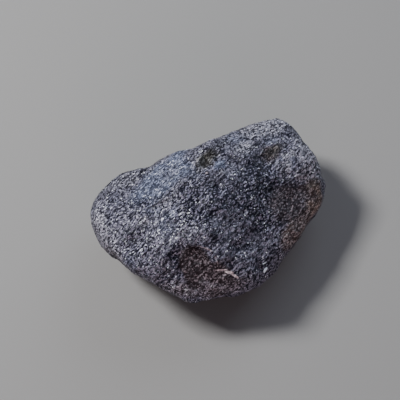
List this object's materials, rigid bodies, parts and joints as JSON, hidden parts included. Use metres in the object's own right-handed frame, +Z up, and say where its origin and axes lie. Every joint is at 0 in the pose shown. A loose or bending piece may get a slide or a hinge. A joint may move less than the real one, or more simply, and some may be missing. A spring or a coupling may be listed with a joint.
{
  "type": "tektite",
  "caption": "Lump of black natural glass with a pitted, furrowed frosted skin, a smooth spall scar and blunt edges, narrower at one end, lying on a worn flat.",
  "frame": {"origin": "level with the resting flat, under the middle of the lump's box", "axes": "+Z up, +X along the longest extent towards the broad end, +Y towards the steep far side"},
  "size_m": [0.0484, 0.035, 0.02],
  "materials": {
    "natural_glass": "opaque black natural glass with a frosted, finely pitted skin that shines in points"
  },
  "bodies": {
    "root": {"tektite": "natural_glass"}
  },
  "joints": []
}
